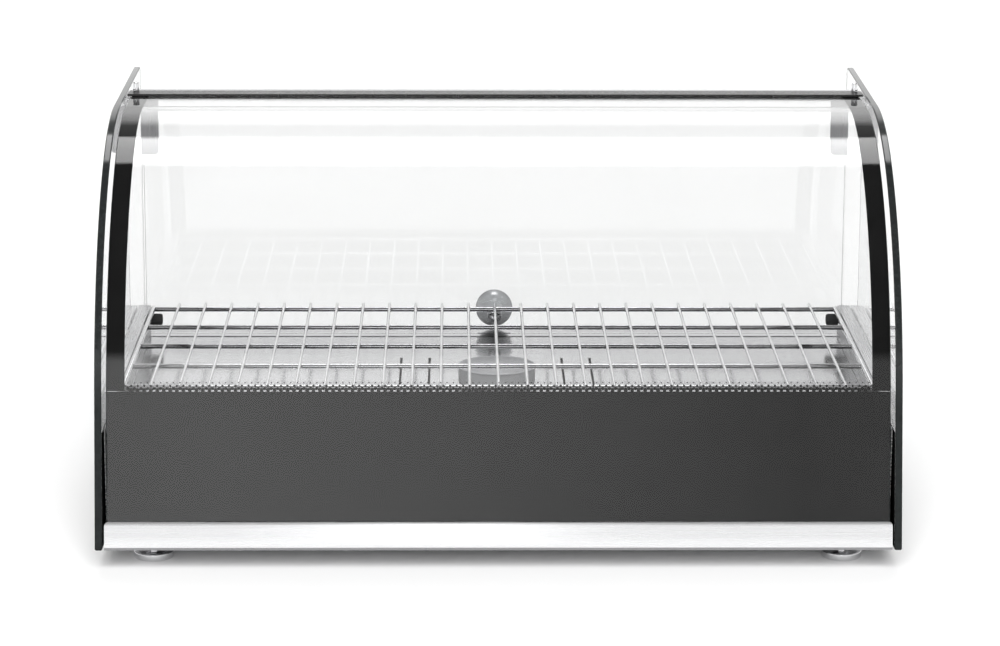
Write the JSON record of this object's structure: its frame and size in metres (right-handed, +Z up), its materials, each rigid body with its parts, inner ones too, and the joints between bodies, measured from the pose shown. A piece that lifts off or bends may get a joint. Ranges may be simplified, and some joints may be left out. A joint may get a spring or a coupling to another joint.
{
  "type": "countertop heated food display",
  "caption": "Countertop heated food display: curved front glass and glass ends over a stainless base, a wire rack inside and a top-hinged rear door with a ball knob.",
  "frame": {"origin": "middle of the footprint, on the surface that the feet stand on", "axes": "+X to the right across the front, +Y from the front towards the rear door, +Z up"},
  "size_m": [0.5586, 0.365, 0.2998],
  "materials": {
    "clear_glass": "clear toughened glass, with black printed borders on the front and the sides",
    "stainless": "brushed stainless sheet, grain along its length",
    "rack_wire": "bright plated wire",
    "chrome": "polished",
    "black_plastic": "fine grained, moulded",
    "black_paint": "matt black paint on steel",
    "black_rubber": "matt",
    "lamp_lens": "clear red",
    "pale_plastic": "pale moulded, matt",
    "scale_plate": "satin, printed ticks",
    "element_sheath": "dull, heat darkened"
  },
  "bodies": {
    "case": {"base_pan": "stainless", "cable_gland": "black_plastic", "clamp_bar": "black_paint", "door_stop_left": "stainless", "door_stop_right": "stainless", "element_support_front": "pale_plastic", "element_support_rear": "pale_plastic", "floor_plate": "stainless", "front_glass": "clear_glass", "front_trim": "stainless", "front_wall": "stainless", "gland_nut": "black_plastic", "glass_pad_left": "black_rubber", "glass_pad_right": "black_rubber", "heat_shield": "stainless", "heating_element": "element_sheath", "hinge_bush_left": "black_plastic", "hinge_bush_right": "black_plastic", "lamp_bezel": "chrome", "pilot_lamp": "lamp_lens", "rack_peg_left_front": "black_rubber", "rack_peg_left_rear": "black_rubber", "rack_peg_right_front": "black_rubber", "rack_peg_right_rear": "black_rubber", "rear_panel": "stainless", "rear_screw_1": "chrome", "rear_screw_2": "chrome", "rear_screw_3": "chrome", "rear_screw_4": "chrome", "sensor_bulb": "element_sheath", "side_bolt_left_front": "chrome", "side_bolt_left_rear": "chrome", "side_bolt_right_front": "chrome", "side_bolt_right_rear": "chrome", "side_liner_left": "stainless", "side_liner_right": "stainless", "side_panel_left": "clear_glass", "side_panel_right": "clear_glass", "switch_housing": "black_plastic", "terminal_block": "pale_plastic", "thermostat_body": "pale_plastic", "thermostat_scale": "scale_plate", "top_bar": "stainless", "top_screw_left": "chrome", "top_screw_right": "chrome", "water_cup": "stainless"},
    "door": {"door_glass": "clear_glass", "door_clip_left": "stainless", "door_clip_right": "stainless", "hinge_pin_left": "chrome", "hinge_pin_right": "chrome", "knob_screw": "chrome", "door_knob": "chrome"},
    "rack": {"wire_rack": "rack_wire"},
    "thermostat_knob": {"thermostat_knob": "black_plastic"},
    "switch_rocker": {"switch_rocker": "black_plastic"},
    "foot_front_left": {"foot_front_left": "chrome"},
    "foot_front_right": {"foot_front_right": "chrome"},
    "foot_rear_left": {"foot_rear_left": "chrome"},
    "foot_rear_right": {"foot_rear_right": "chrome"}
  },
  "joints": [
    {"name": "door_swing", "type": "hinge", "parent": "case", "child": "door", "pos_m": [0, 0.1225, 0.281], "axis": [1, 0, 0], "range_deg": [0, 95]},
    {"name": "rack_lift", "type": "slide", "parent": "case", "child": "rack", "axis": [0, 0, 1], "range_m": [0, 0.03]},
    {"name": "thermostat_turn", "type": "hinge", "parent": "case", "child": "thermostat_knob", "pos_m": [0.15, 0.1535, 0.058], "axis": [0, 1, 0], "range_deg": [0, 270]},
    {"name": "switch_tip", "type": "hinge", "parent": "case", "child": "switch_rocker", "pos_m": [0.075, 0.1523, 0.058], "axis": [1, 0, 0], "range_deg": [-16, 0]},
    {"name": "foot_front_left_turn", "type": "hinge", "parent": "case", "child": "foot_front_left", "pos_m": [-0.24, -0.1415, 0], "axis": [0, 0, 1], "continuous": true},
    {"name": "foot_front_right_turn", "type": "hinge", "parent": "case", "child": "foot_front_right", "pos_m": [0.24, -0.1415, 0], "axis": [0, 0, 1], "continuous": true},
    {"name": "foot_rear_left_turn", "type": "hinge", "parent": "case", "child": "foot_rear_left", "pos_m": [-0.24, 0.1225, 0], "axis": [0, 0, 1], "continuous": true},
    {"name": "foot_rear_right_turn", "type": "hinge", "parent": "case", "child": "foot_rear_right", "pos_m": [0.24, 0.1225, 0], "axis": [0, 0, 1], "continuous": true}
  ]
}
